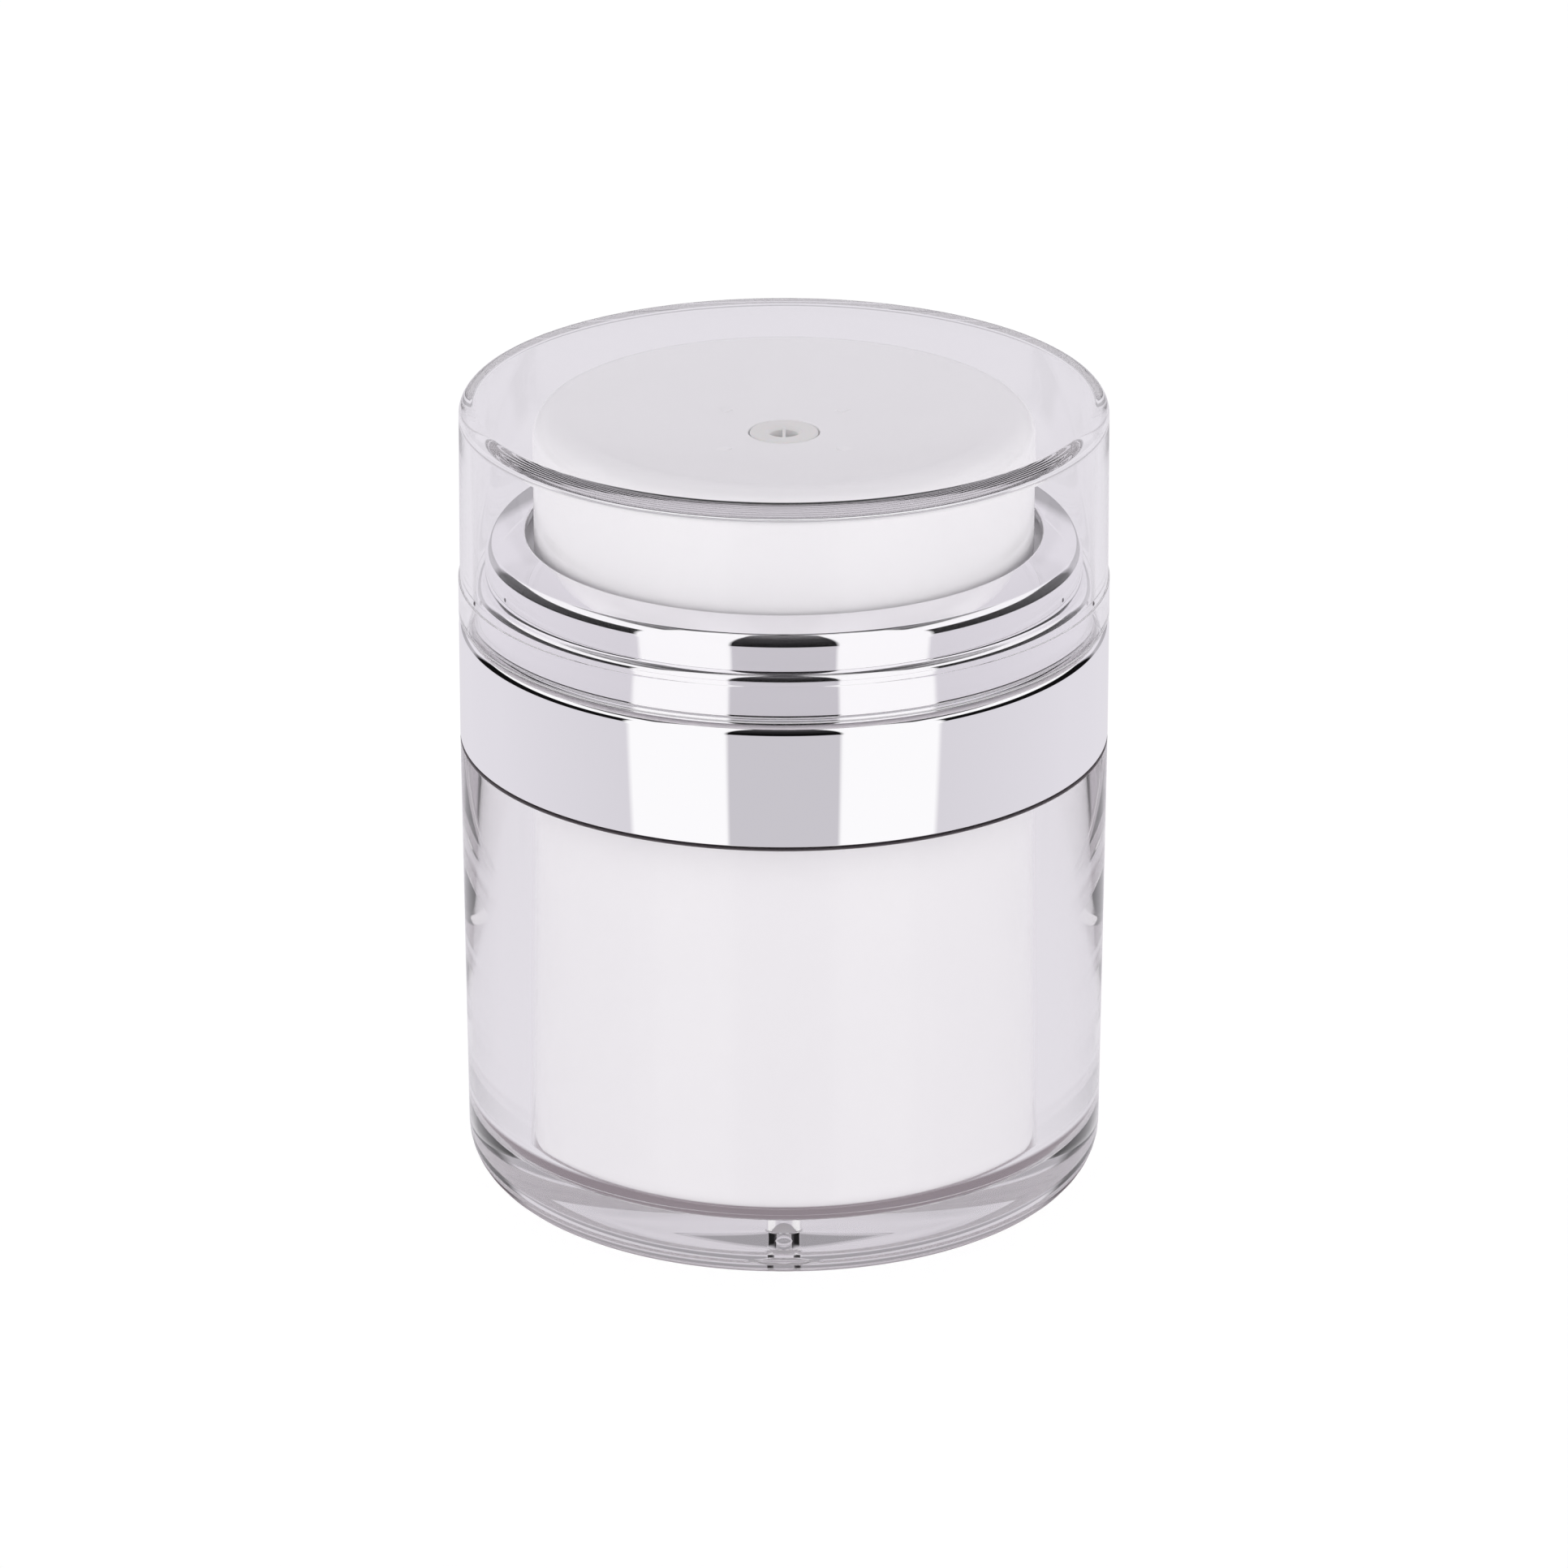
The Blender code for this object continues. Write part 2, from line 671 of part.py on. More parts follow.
def make_outlet_valve(axis):
    crown = outlet_flange_thickness + outlet_dome_height
    hollow = outlet_dome_radius - outlet_wall
    corners = [
        (0, crown - outlet_wall),
        (hollow, crown - outlet_wall),
        (hollow, 0),
        (nozzle_hollow - seat_gap, 0),
        (nozzle_hollow - seat_gap, outlet_flange_thickness),
        (outlet_dome_radius, outlet_flange_thickness),
        (outlet_dome_radius, crown, outlet_dome_radius / 2, 3),
        (0, crown),
    ]
    valve = turned("outlet_valve", corners, soft_seal, nozzle_shelf_z + seat_gap, fine_sides, axis)
    slit = spokes("outlet_slit_cutter", 1, -hollow, hollow, outlet_flange_thickness, crown + cut_overrun,
                  outlet_slit)
    join_or_cut(valve, slit, "DIFFERENCE")
    return valve


def make_return_spring(axis):
    low = turret_top_z + seat_gap + spring_wire_radius
    high = disc_z + disc_height - disc_plate - dish_drop(spring_radius) - seat_gap - spring_wire_radius
    count = int(spring_turns * spring_points_per_turn) + 1
    curve = bpy.data.curves.new("return_spring", "CURVE")
    curve.dimensions = "3D"
    line = curve.splines.new("POLY")
    line.points.add(count - 1)
    path = []
    for index, point in enumerate(line.points):
        share = index / (count - 1)
        angle = share * spring_turns * full_turn
        place = Vector((spring_radius * math.cos(angle), spring_radius * math.sin(angle),
                        share * (high - low)))
        path.append(place)
        point.co = (*place, 1)
    curve.bevel_depth = spring_wire_radius
    curve.bevel_resolution = 1
    curve.use_fill_caps = True
    curve.materials.append(spring_steel)
    spring = bpy.data.objects.new("return_spring", curve)
    bpy.context.scene.collection.objects.link(spring)
    spring.parent = axis
    spring.location = (0, 0, low - axis.location.z)
    apart = spring_points_per_turn // 2
    gaps = [(path[first] - path[second]).length - 2 * spring_wire_radius
            for first in range(count) for second in range(first + apart, count)]
    print(f"return_spring: least gap to itself {min(gaps) / mm:.2f} mm")
    return spring


def make_follower_piston(axis):
    waist = follower_radius - follower_waist
    top_web = follower_height - follower_lip_height
    web_under = top_web - follower_web
    well_floor = follower_height - follower_well_depth
    well_under = well_floor - follower_web
    well_outer = follower_well_radius + follower_wall
    ring_radius = (follower_inner + well_outer) / 2
    corners = [
        (0, well_floor),
        (follower_well_radius, well_floor, follower_wall, 2),
        (follower_well_radius, top_web),
        (follower_radius - follower_wall - follower_lip_slope, top_web),
        (follower_radius - follower_wall / 2, follower_height),
        (follower_radius, follower_height),
        (follower_radius, top_web + follower_lip_slope),
        (waist, top_web),
        (waist, follower_lip_height),
        (follower_radius, follower_lip_height - follower_lip_slope),
        (follower_radius, cup_inner_corner),
        (follower_radius - cup_inner_corner, 0),
        (follower_inner, 0),
        (follower_inner, web_under),
        (ring_radius + follower_ring_wall / 2, web_under),
        (ring_radius + follower_ring_wall / 2, web_under - follower_ring_depth),
        (ring_radius - follower_ring_wall / 2, web_under - follower_ring_depth),
        (ring_radius - follower_ring_wall / 2, web_under),
        (well_outer, web_under),
        (well_outer, well_under, follower_wall, 2),
        (0, well_under),
    ]
    return turned("follower_piston", corners, natural_plastic, follower_z, inner_sides, axis)


def make_over_cap(axis):
    height = cap_under_z + cap_top - cap_z
    underside = cap_under_z - cap_z
    corners = [
        (0, underside),
        (cap_bore, underside, cap_inner_fillet, 2),
        (cap_bore, 0),
        (body_radius, 0, cap_foot_fillet, 2),
        (body_radius, cap_foot_band),
        (cap_side_radius, cap_foot_band),
        (cap_top_radius, height, cap_top_fillet),
        (0, height),
    ]
    return turned("over_cap", corners, clear_acrylic, cap_z, outer_sides, axis)


# The jar, the cup in it and everything the collar clamps stay still
make_outer_jar()
make_inner_cup()
make_cup_gasket()
make_pump_deck()
make_pump_chamber()
make_chamber_cap()
make_collar_liner()
make_collar_shell()

# The press head slides down on the return spring
press_axis = travel_axis("press_axis", disc_z)
make_press_disc(press_axis)
make_nozzle_insert(press_axis)
make_outlet_valve(press_axis)
make_pump_stem(press_axis)
make_chamber_piston(press_axis)
make_return_spring(travel_axis("spring_axis", turret_top_z))

# The inlet valve lifts off its seat, the follower climbs as the cream goes, the cap lifts off
make_inlet_valve(travel_axis("inlet_axis", valve_z))
make_follower_piston(travel_axis("follower_axis", follower_z))
make_over_cap(travel_axis("cap_axis", cap_z))

print(f"height over all {(cap_under_z + cap_top) / mm:.2f} mm")
print(f"follower travel {follower_travel / mm:.2f} mm")
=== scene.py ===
import math

import bmesh
import bpy
from mathutils import Matrix, Vector


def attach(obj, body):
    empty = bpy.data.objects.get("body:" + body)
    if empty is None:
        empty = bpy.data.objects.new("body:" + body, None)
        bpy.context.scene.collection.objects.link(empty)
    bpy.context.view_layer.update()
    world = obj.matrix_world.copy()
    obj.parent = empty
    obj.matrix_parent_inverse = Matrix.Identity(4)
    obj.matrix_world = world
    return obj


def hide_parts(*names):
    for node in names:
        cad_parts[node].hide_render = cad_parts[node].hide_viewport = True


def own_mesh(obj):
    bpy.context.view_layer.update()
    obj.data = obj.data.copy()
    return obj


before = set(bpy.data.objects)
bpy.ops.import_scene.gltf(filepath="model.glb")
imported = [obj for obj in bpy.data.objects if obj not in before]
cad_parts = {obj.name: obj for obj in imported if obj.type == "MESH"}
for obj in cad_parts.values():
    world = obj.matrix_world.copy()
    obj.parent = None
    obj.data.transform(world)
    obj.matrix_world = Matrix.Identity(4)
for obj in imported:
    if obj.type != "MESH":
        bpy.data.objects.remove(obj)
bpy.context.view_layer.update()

mm = 0.001
scene = bpy.context.scene

print("frame loaded, nodes:", len(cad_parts))


# node helpers

def addNode(tree, kind, x=0, y=0, **values):
    node = tree.nodes.new(kind)
    node.location = (x, y)
    for name, value in values.items():
        if hasattr(node, name):
            setattr(node, name, value)
        else:
            node.inputs[name.replace("_", " ")].default_value = value
    return node


def join(tree, source, target):
    tree.links.new(source, target)


def calc(tree, operation, *values):
    node = tree.nodes.new("ShaderNodeMath")
    node.operation = operation
    for socket, value in zip(node.inputs, values):
        if isinstance(value, (int, float)):
            socket.default_value = value
        else:
            join(tree, value, socket)
    return node.outputs[0]


# shared surface effects

skinLook = {"driftSize": 90.0, "driftDetail": 3.0, "driftRoughness": 0.55, "driftRange": (0.3, 0.7),
            "peelSize": 1800.0, "peelDetail": 1.0, "peelMetres": 0.00002}


def makeMouldedSkin():
    # faint unevenness of moulded plastic: colour drift, gloss drift, a very fine orange peel
    group = bpy.data.node_groups.new("mouldedSkin", "ShaderNodeTree")
    face = group.interface
    for name, kind, value in (("Base", "NodeSocketColor", (0.8, 0.8, 0.8, 1)),
                              ("Drift Colour", "NodeSocketColor", (0.78, 0.78, 0.78, 1)),
                              ("Drift Size", "NodeSocketFloat", skinLook["driftSize"]),
                              ("Peel Size", "NodeSocketFloat", skinLook["peelSize"]),
                              ("Peel Depth", "NodeSocketFloat", 0.1),
                              ("Gloss Low", "NodeSocketFloat", 0.2),
                              ("Gloss High", "NodeSocketFloat", 0.3)):
        socket = face.new_socket(name=name, in_out="INPUT", socket_type=kind)
        socket.default_value = value
    for name, kind in (("Colour", "NodeSocketColor"), ("Roughness", "NodeSocketFloat"),
                       ("Normal", "NodeSocketVector")):
        face.new_socket(name=name, in_out="OUTPUT", socket_type=kind)
    into = addNode(group, "NodeGroupInput", -700)
    out = addNode(group, "NodeGroupOutput", 500)
    place = addNode(group, "ShaderNodeTexCoord", -700, -300)
    drift = addNode(group, "ShaderNodeTexNoise", -400, 200, Detail=skinLook["driftDetail"],
                    Roughness=skinLook["driftRoughness"])
    join(group, place.outputs["Object"], drift.inputs["Vector"])
    join(group, into.outputs["Drift Size"], drift.inputs["Scale"])
    blend = addNode(group, "ShaderNodeMix", 0, 200, data_type="RGBA")
    join(group, drift.outputs["Fac"], blend.inputs["Factor"])
    join(group, into.outputs["Base"], blend.inputs[6])
    join(group, into.outputs["Drift Colour"], blend.inputs[7])
    join(group, blend.outputs[2], out.inputs["Colour"])
    gloss = addNode(group, "ShaderNodeMapRange", 0, 0)
    join(group, drift.outputs["Fac"], gloss.inputs["Value"])
    gloss.inputs["From Min"].default_value = skinLook["driftRange"][0]
    gloss.inputs["From Max"].default_value = skinLook["driftRange"][1]
    join(group, into.outputs["Gloss Low"], gloss.inputs["To Min"])
    join(group, into.outputs["Gloss High"], gloss.inputs["To Max"])
    join(group, gloss.outputs[0], out.inputs["Roughness"])
    peel = addNode(group, "ShaderNodeTexNoise", -400, -200, Detail=skinLook["peelDetail"])
    join(group, place.outputs["Object"], peel.inputs["Vector"])
    join(group, into.outputs["Peel Size"], peel.inputs["Scale"])
    bump = addNode(group, "ShaderNodeBump", 0, -250)
    bump.inputs["Distance"].default_value = skinLook["peelMetres"]
    join(group, into.outputs["Peel Depth"], bump.inputs["Strength"])
    join(group, peel.outputs["Fac"], bump.inputs["Height"])
    join(group, bump.outputs[0], out.inputs["Normal"])
    return group


marksLook = {"smearDetail": 4.0, "smearRoughness": 0.6, "hairSize": 900.0, "hairDetail": 2.0,
             "hairStretch": (1, 1, 0.05), "range": (0.2, 0.45)}


def makeHandlingMarks():
    # thin smears and hairlines that only show as a slight change of gloss
    group = bpy.data.node_groups.new("handlingMarks", "ShaderNodeTree")
    face = group.interface
    for name, value in (("Smear Size", 60.0), ("Hairline Size", marksLook["hairSize"]),
                        ("Clean", 0.02), ("Marked", 0.05)):
        socket = face.new_socket(name=name, in_out="INPUT", socket_type="NodeSocketFloat")
        socket.default_value = value
    face.new_socket(name="Roughness", in_out="OUTPUT", socket_type="NodeSocketFloat")
    into = addNode(group, "NodeGroupInput", -700)
    out = addNode(group, "NodeGroupOutput", 500)
    place = addNode(group, "ShaderNodeTexCoord", -900, -200)
    smear = addNode(group, "ShaderNodeTexNoise", -400, 200, Detail=marksLook["smearDetail"],
                    Roughness=marksLook["smearRoughness"])
    join(group, place.outputs["Object"], smear.inputs["Vector"])
    join(group, into.outputs["Smear Size"], smear.inputs["Scale"])
    stretch = addNode(group, "ShaderNodeMapping", -650, -200)
    stretch.inputs["Scale"].default_value = marksLook["hairStretch"]
    join(group, place.outputs["Object"], stretch.inputs["Vector"])
    hair = addNode(group, "ShaderNodeTexNoise", -400, -100, Detail=marksLook["hairDetail"])
    join(group, stretch.outputs[0], hair.inputs["Vector"])
    join(group, into.outputs["Hairline Size"], hair.inputs["Scale"])
    both = calc(group, "MULTIPLY", smear.outputs["Fac"], hair.outputs["Fac"])
    mask = addNode(group, "ShaderNodeMapRange", 0, 100)
    mask.inputs["From Min"].default_value = marksLook["range"][0]
    mask.inputs["From Max"].default_value = marksLook["range"][1]
    join(group, both, mask.inputs["Value"])
    gloss = addNode(group, "ShaderNodeMapRange", 200, 0)
    join(group, mask.outputs[0], gloss.inputs["Value"])
    join(group, into.outputs["Clean"], gloss.inputs["To Min"])
    join(group, into.outputs["Marked"], gloss.inputs["To Max"])
    join(group, gloss.outputs[0], out.inputs["Roughness"])
    return group


mouldedSkin = makeMouldedSkin()
handlingMarks = makeHandlingMarks()


# materials

def startMaterial(name):
    material = bpy.data.materials.new(name)
    material.use_nodes = True
    return material, material.node_tree, material.node_tree.nodes["Principled BSDF"]


def blendColour(tree, factor, first, second):
    node = tree.nodes.new("ShaderNodeMix")
    node.data_type = "RGBA"
    join(tree, factor, node.inputs[0])
    for socket, value in ((node.inputs[6], first), (node.inputs[7], second)):
        if isinstance(value, tuple):
            socket.default_value = (*value, 1)
        else:
            join(tree, value, socket)
    return node.outputs[2]


acrylicLook = {
    "colour": (0.997, 0.993, 0.998), "roughness": 0.0, "ior": 1.49,
    "passing": (0.99, 0.987, 0.99),      # tint of the light that goes through to what is inside
    "specularTint": 0.2, "depthColour": (0.966, 0.963, 0.965), "depth": 100.0,
}


def makeClearAcrylic():
    material, tree, shader = startMaterial("clearAcrylic")
    shader.inputs["Base Color"].default_value = (*acrylicLook["colour"], 1)
    shader.inputs["Roughness"].default_value = acrylicLook["roughness"]
    shader.inputs["IOR"].default_value = acrylicLook["ior"]
    shader.inputs["Specular Tint"].default_value = (*[acrylicLook["specularTint"]] * 3, 1)
    shader.inputs["Transmission Weight"].default_value = 1.0
    # light that lands on the white pieces inside goes straight through the wall
    rays = addNode(tree, "ShaderNodeLightPath", -400, 400)
    soft = calc(tree, "MAXIMUM", rays.outputs["Is Shadow Ray"], rays.outputs["Is Diffuse Ray"])
    clear = addNode(tree, "ShaderNodeBsdfTransparent", 0, -200)
    clear.inputs["Color"].default_value = (*acrylicLook["passing"], 1)
    mix = addNode(tree, "ShaderNodeMixShader", 300, 100)
    join(tree, soft, mix.inputs[0])
    join(tree, shader.outputs[0], mix.inputs[1])
    join(tree, clear.outputs[0], mix.inputs[2])
    join(tree, mix.outputs[0], tree.nodes["Material Output"].inputs["Surface"])
    depth = addNode(tree, "ShaderNodeVolumeAbsorption", 300, -200)
    depth.inputs["Color"].default_value = (*acrylicLook["depthColour"], 1)
    depth.inputs["Density"].default_value = acrylicLook["depth"]
    join(tree, depth.outputs[0], tree.nodes["Material Output"].inputs["Volume"])
    return material


# the first look's dark outside colour is painted shade of the seam gap under the collar, and its pale
# inside colour is painted light seen through the jar's wall
rimLooks = {
    "seamShadeAndMarks": {"outside": (0.10, 0.085, 0.095), "inside": (0.86, 0.85, 0.865), "roughness": 0.6},
    "mattFoot": {"outside": (0.86, 0.83, 0.85), "inside": (0.86, 0.85, 0.865), "roughness": 0.5},
}


def makeMattEdge(name):
    # edges of the acrylic that aren't polished: one look from outside, a pale one through the wall. On
    # the jar's rim the dark outside colour is painted shade of the gap under the collar, and the pale
    # inside colour is painted light that keeps the wall bright where it would show dark streaks.
    look = rimLooks[name]
    material, tree, shader = startMaterial(name)
    side = addNode(tree, "ShaderNodeNewGeometry", -600, 200)
    colour = blendColour(tree, side.outputs["Backfacing"], look["outside"], look["inside"])
    join(tree, colour, shader.inputs["Base Color"])
    shader.inputs["Roughness"].default_value = look["roughness"]
    return material


metalLooks = {
    "brightPlating": {"colour": (0.92, 0.91, 0.93), "smearSize": 55.0, "clean": 0.012, "marked": 0.03},
    "springSteel": {"colour": (0.58, 0.58, 0.6), "smearSize": 300.0, "clean": 0.2, "marked": 0.36},
}


def makeMetal(name):
    look = metalLooks[name]
    material, tree, shader = startMaterial(name)
    shader.inputs["Base Color"].default_value = (*look["colour"], 1)
    shader.inputs["Metallic"].default_value = 1.0
    marks = addNode(tree, "ShaderNodeGroup", -300, 0)
    marks.node_tree = handlingMarks
    marks.inputs["Smear Size"].default_value = look["smearSize"]
    marks.inputs["Clean"].default_value = look["clean"]
    marks.inputs["Marked"].default_value = look["marked"]
    join(tree, marks.outputs["Roughness"], shader.inputs["Roughness"])
    return material


plasticLooks = {
    "whitePlastic": {"base": (0.93, 0.92, 0.93), "drift": (0.92, 0.91, 0.925), "peel": 0.12,
                     "glossLow": 0.18, "glossHigh": 0.24, "ior": 1.49},
    "milkyPlastic": {"base": (0.80, 0.79, 0.77), "drift": (0.77, 0.76, 0.74), "peel": 0.2,
                     "glossLow": 0.3, "glossHigh": 0.42, "ior": 1.5, "scatter": 0.15},
    "softSeal": {"base": (0.72, 0.72, 0.71), "drift": (0.68, 0.68, 0.67), "peel": 0.35,
                 "glossLow": 0.45, "glossHigh": 0.6, "ior": 1.43, "scatter": 0.2},
}


def makePlastic(name):
    look = plasticLooks[name]
    material, tree, shader = startMaterial(name)
    skin = addNode(tree, "ShaderNodeGroup", -300, 0)
    skin.node_tree = mouldedSkin
    skin.inputs["Base"].default_value = (*look["base"], 1)
    skin.inputs["Drift Colour"].default_value = (*look["drift"], 1)
    skin.inputs["Peel Depth"].default_value = look["peel"]
    skin.inputs["Gloss Low"].default_value = look["glossLow"]
    skin.inputs["Gloss High"].default_value = look["glossHigh"]
    join(tree, skin.outputs["Colour"], shader.inputs["Base Color"])
    join(tree, skin.outputs["Roughness"], shader.inputs["Roughness"])
    join(tree, skin.outputs["Normal"], shader.inputs["Normal"])
    shader.inputs["IOR"].default_value = look["ior"]
    if "scatter" in look:
        shader.inputs["Subsurface Weight"].default_value = look["scatter"]
        shader.inputs["Subsurface Scale"].default_value = mm
    return material


clearAcrylic = makeClearAcrylic()
seamShadeAndMarks = makeMattEdge("seamShadeAndMarks")
mattFoot = makeMattEdge("mattFoot")
brightPlating = makeMetal("brightPlating")
whitePlastic = makePlastic("whitePlastic")
milkyPlastic = makePlastic("milkyPlastic")
softSeal = makePlastic("softSeal")
springSteel = makeMetal("springSteel")
print("materials made")


# turned pieces

turning = {"sides": 256, "arcStep": math.radians(9), "sharpAngle": math.radians(30),
           "edgeShare": 0.98, "weldMetres": 1e-7}


def roundCorners(corners):
    # corners are (radius, height) or (radius, height, fillet), all in millimetres; two fillets on
    # one edge share its length in proportion to their sizes
    line = []
    for index, corner in enumerate(corners):
        here = Vector(corner[:2])
        fillet = corner[2] if len(corner) > 2 else 0
        if not fillet:
            line.append(here)
            continue
        after = corners[(index + 1) % len(corners)]
        back = Vector(corners[index - 1][:2]) - here
        ahead = Vector(after[:2]) - here
        half = back.angle(ahead) / 2
        reach = fillet / math.tan(half)
        for edge, other in ((back, corners[index - 1]), (ahead, after)):
            share = fillet / (fillet + other[2]) if len(other) > 2 else 1
            reach = min(reach, turning["edgeShare"] * share * edge.length)
        radius = reach * math.tan(half)
        middle = here + (back.normalized() + ahead.normalized()).normalized() * radius / math.sin(half)
        start = here + back.normalized() * reach - middle
        sweep = start.angle_signed(here + ahead.normalized() * reach - middle)
        steps = max(3, round(abs(sweep) / turning["arcStep"]))
        for step in range(steps + 1):
            turn = -sweep * step / steps
            line.append(middle + Vector((start.x * math.cos(turn) - start.y * math.sin(turn),
                                         start.x * math.sin(turn) + start.y * math.cos(turn))))
    return line


def placeShape(name, shape, material):
    mesh = bpy.data.meshes.new(name)
    shape.to_mesh(mesh)
    shape.free()
    mesh.materials.append(material)
    piece = bpy.data.objects.new(name, mesh)
    scene.collection.objects.link(piece)
    return piece


def turnPiece(name, corners, material, height=0.0, sides=turning["sides"]):
    # turns an outline about the centre line; one that starts and ends on the axis closes there
    line = roundCorners(corners)
    shape = bmesh.new()
    ring = [shape.verts.new((point.x * mm, 0, (point.y + height) * mm)) for point in line]
    pairs = list(zip(ring, ring[1:]))
    if not (line[0].x == 0 and line[-1].x == 0):
        pairs.append((ring[-1], ring[0]))
    edges = [shape.edges.new(pair) for pair in pairs]
    bmesh.ops.spin(shape, geom=ring + edges, cent=(0, 0, 0), axis=(0, 0, 1), dvec=(0, 0, 0),
                   angle=2 * math.pi, steps=sides, use_merge=True)
    bmesh.ops.remove_doubles(shape, verts=shape.verts, dist=turning["weldMetres"])
    bmesh.ops.recalc_face_normals(shape, faces=shape.faces)
    piece = placeShape(name, shape, material)
    piece.data.shade_smooth()
    piece.data.set_sharp_from_angle(angle=turning["sharpAngle"])
    return piece


def addBars(piece, count, inner, outer, low, high, thickness, offset=0.5):
    # upright ribs that run out from the axis, added to the piece's own mesh
    shape = bmesh.new()
    shape.from_mesh(piece.data)
    for index in range(count):
        angle = 2 * math.pi * (index + offset) / count
        along = Vector((math.cos(angle), math.sin(angle), 0)) * mm
        across = Vector((-math.sin(angle), math.cos(angle), 0)) * thickness * mm / 2
        foot = [along * inner - across, along * outer - across,
                along * outer + across, along * inner + across]
        under = [shape.verts.new((point.x, point.y, low * mm)) for point in foot]
        above = [shape.verts.new((point.x, point.y, high * mm)) for point in foot]
        shape.faces.new(list(reversed(under)))
        shape.faces.new(above)
        for side in range(4):
            after = (side + 1) % 4
            shape.faces.new((under[side], under[after], above[after], above[side]))
    shape.to_mesh(piece.data)
    shape.free()


def paintFaces(piece, material, isOurs):
    # gives a second material to the faces that the test picks
    piece.data.materials.append(material)
    for face in piece.data.polygons:
        if isOurs(face):
            face.material_index = len(piece.data.materials) - 1


def dress(piece, body, slotName, *nodes):
    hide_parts(*nodes)
    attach(piece, body)


# clear jar

jar = {"rim": 31.0, "foot": 30.6, "height": 44.8, "bore": 24.9, "floor": 4.8, "footFillet": 5.0,
       "edgeFillet": 0.15, "recessFillet": 0.3, "boreCorner": 3.1, "recess": 23.3, "recessSlope": 0.6,
       "recessDepth": 0.8, "ventRadius": 1.1, "ventMouth": 2.4, "ventLip": 0.5, "ventSlope": 1.3,
       "seamShadeTilt": 0.3}


def makeJar():
    corners = [
        (jar["rim"], jar["height"], jar["edgeFillet"]),
        (jar["foot"], 0, jar["footFillet"]),
        (jar["recess"], 0, jar["edgeFillet"]),
        (jar["recess"] - jar["recessSlope"], jar["recessDepth"], jar["recessFillet"]),
        (jar["ventMouth"], jar["recessDepth"], jar["edgeFillet"]),
        (jar["ventMouth"], jar["recessDepth"] + jar["ventLip"], jar["recessFillet"]),
        (jar["ventRadius"], jar["recessDepth"] + jar["ventLip"] + jar["ventSlope"],
         jar["recessFillet"]),
        (jar["ventRadius"], jar["floor"], jar["edgeFillet"]),
        (jar["bore"], jar["floor"], jar["boreCorner"]),
        (jar["bore"], jar["height"], jar["edgeFillet"]),
    ]
    piece = turnPiece("clearJar", corners, clearAcrylic)
    edge = (jar["height"] - jar["edgeFillet"]) * mm
    # the rim's top face gets painted shade: dark from outside for the gap under the collar, pale
    # painted light from inside the wall
    paintFaces(piece, seamShadeAndMarks,
               lambda face: face.normal.z > jar["seamShadeTilt"] and face.center.z > edge)
    dress(piece, "jar", "clear_acrylic", "outer_jar")


# white cup

cup = {"base": 5.1, "outer": 24.45, "bore": 23.4, "floor": 1.2, "corner": 2.8, "flangeLow": 39.8,
       "flangeWidth": 3.4, "flangeThickness": 1.2, "top": 46.3, "bead": 0.8, "beadHeight": 1.8,
       "beadSlope": 0.6, "edgeFillet": 0.2, "innerCorner": 1.6}


def makeCup():
    beadLow = cup["top"] - cup["beadHeight"]
    beadOut = cup["outer"] + cup["bead"]
    flangeOut = cup["outer"] + cup["flangeWidth"]
    flangeTop = cup["flangeLow"] + cup["flangeThickness"]
    corners = [
        (0, 0),
        (cup["outer"], 0, cup["corner"]),
        (cup["outer"], cup["flangeLow"]),
        (flangeOut, cup["flangeLow"], cup["edgeFillet"]),
        (flangeOut, flangeTop, cup["edgeFillet"]),
        (cup["outer"], flangeTop),
        (cup["outer"], beadLow),
        (beadOut, beadLow + cup["beadSlope"], cup["edgeFillet"]),
        (beadOut, cup["top"] - cup["beadSlope"], cup["edgeFillet"]),
        (beadOut - cup["beadSlope"], cup["top"]),
        (cup["bore"], cup["top"], cup["edgeFillet"]),
        (cup["bore"], cup["floor"], cup["innerCorner"]),
        (0, cup["floor"]),
    ]
    piece = turnPiece("whiteCup", corners, whitePlastic, cup["base"])
    dress(piece, "jar", "white_plastic", "inner_cup")


# bright collar

collar = {"base": 45.05, "band": 31.0, "bandHeight": 11.85, "bandFillet": 0.9, "wall": 1.1,
          "lowerNeck": 29.3, "lowerHeight": 4.7, "lowerFillet": 0.82,
          "upperNeck": 28.45, "upperHeight": 4.3, "upperFillet": 1.75, "mouth": 24.6, "crown": 0.8,
          "rimTurn": 0.61, "rimFillet": 0.4, "footFillet": 0.12, "ledgeFillet": 0.15,
          "mouthFillet": 0.25}


def makeCollar():
    ledge = collar["bandHeight"]
    step = ledge + collar["lowerHeight"]
    top = step + collar["upperHeight"]
    wall = collar["wall"]
    shoulder = top - collar["crown"]
    corners = [
        (collar["band"], 0, collar["footFillet"]),
        (collar["band"], ledge, collar["bandFillet"]),
        (collar["lowerNeck"], ledge, collar["ledgeFillet"]),
        (collar["lowerNeck"], step, collar["lowerFillet"]),
        (collar["upperNeck"], step),
        (collar["upperNeck"], shoulder - collar["rimTurn"], collar["upperFillet"]),
        (collar["upperNeck"] - collar["rimTurn"], shoulder, collar["rimFillet"]),
        (collar["mouth"], top, collar["mouthFillet"]),
        (collar["mouth"], top - wall, collar["mouthFillet"]),
        (collar["upperNeck"] - wall, shoulder - wall),
        (collar["upperNeck"] - wall, step - wall),
        (collar["lowerNeck"] - wall, step - wall),
        (collar["lowerNeck"] - wall, ledge - wall),
        (collar["band"] - wall, ledge - wall),
        (collar["band"] - wall, 0),
    ]
    piece = turnPiece("brightCollar", corners, brightPlating, collar["base"])
    dress(piece, "jar", "bright_plating", "collar_shell")


# press disc

